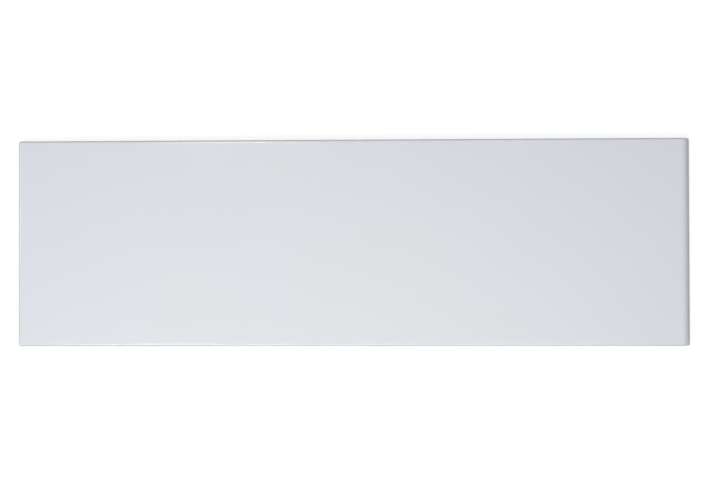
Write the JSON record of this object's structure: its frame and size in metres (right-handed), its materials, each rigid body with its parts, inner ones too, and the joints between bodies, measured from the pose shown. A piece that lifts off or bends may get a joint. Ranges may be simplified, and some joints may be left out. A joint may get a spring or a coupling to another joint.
{
  "type": "bath front panel",
  "caption": "Long flat gloss white front panel for a bath: a thermoformed acrylic sheet with a rounded right end and a shallow return bent back all round its edges.",
  "frame": {"origin": "middle of the plane of the cut edges of the returns, on which the panel lies face up", "axes": "+X along the panel, +Y towards the edge that goes under the bath's rim, +Z out of the face"},
  "size_m": [1.69, 0.52, 0.03],
  "materials": {
    "gloss_acrylic": "gloss"
  },
  "bodies": {
    "root": {"bath_panel": "gloss_acrylic"}
  },
  "joints": []
}
